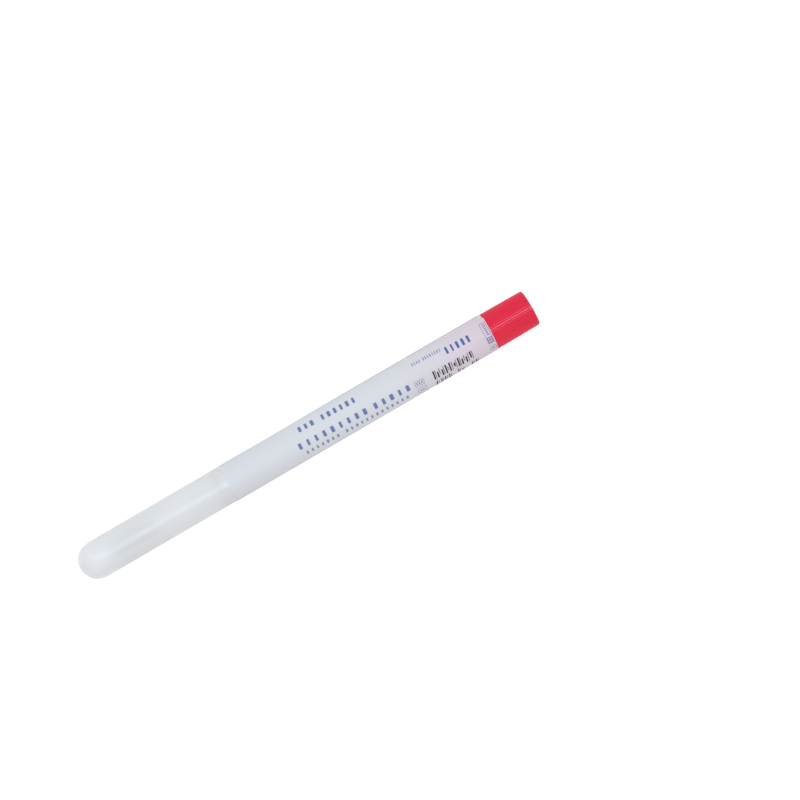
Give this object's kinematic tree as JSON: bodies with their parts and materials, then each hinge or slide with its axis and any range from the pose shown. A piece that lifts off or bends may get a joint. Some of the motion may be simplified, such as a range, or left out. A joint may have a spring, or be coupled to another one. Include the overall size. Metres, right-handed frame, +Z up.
{
  "type": "specimen swab tube",
  "caption": "Capped round-bottomed plastic transport tube with a wrap-around label, a ribbed plug cap, and a swab on a snappable shaft held in the cap.",
  "frame": {"origin": "on the surface the tube lies on, under the middle of its length", "axes": "+X along the tube's axis towards the cap, +Z up, +Y to the side with the label's bare strip"},
  "size_m": [0.1652, 0.0126, 0.0127],
  "materials": {
    "tube_pp": "satin",
    "label_film": "satin",
    "cap_red": "satin",
    "shaft_white": "satin",
    "tip_viscose": "matte"
  },
  "bodies": {
    "tube_body": {"tube": "tube_pp", "label": "label_film"},
    "swab": {"cap": "cap_red", "swab_shaft": "shaft_white", "swab_tip": "tip_viscose"}
  },
  "joints": [
    {"name": "swab_draw", "type": "slide", "parent": "tube_body", "child": "swab", "axis": [1, 0, 0], "range_m": [0, 0.15]}
  ]
}
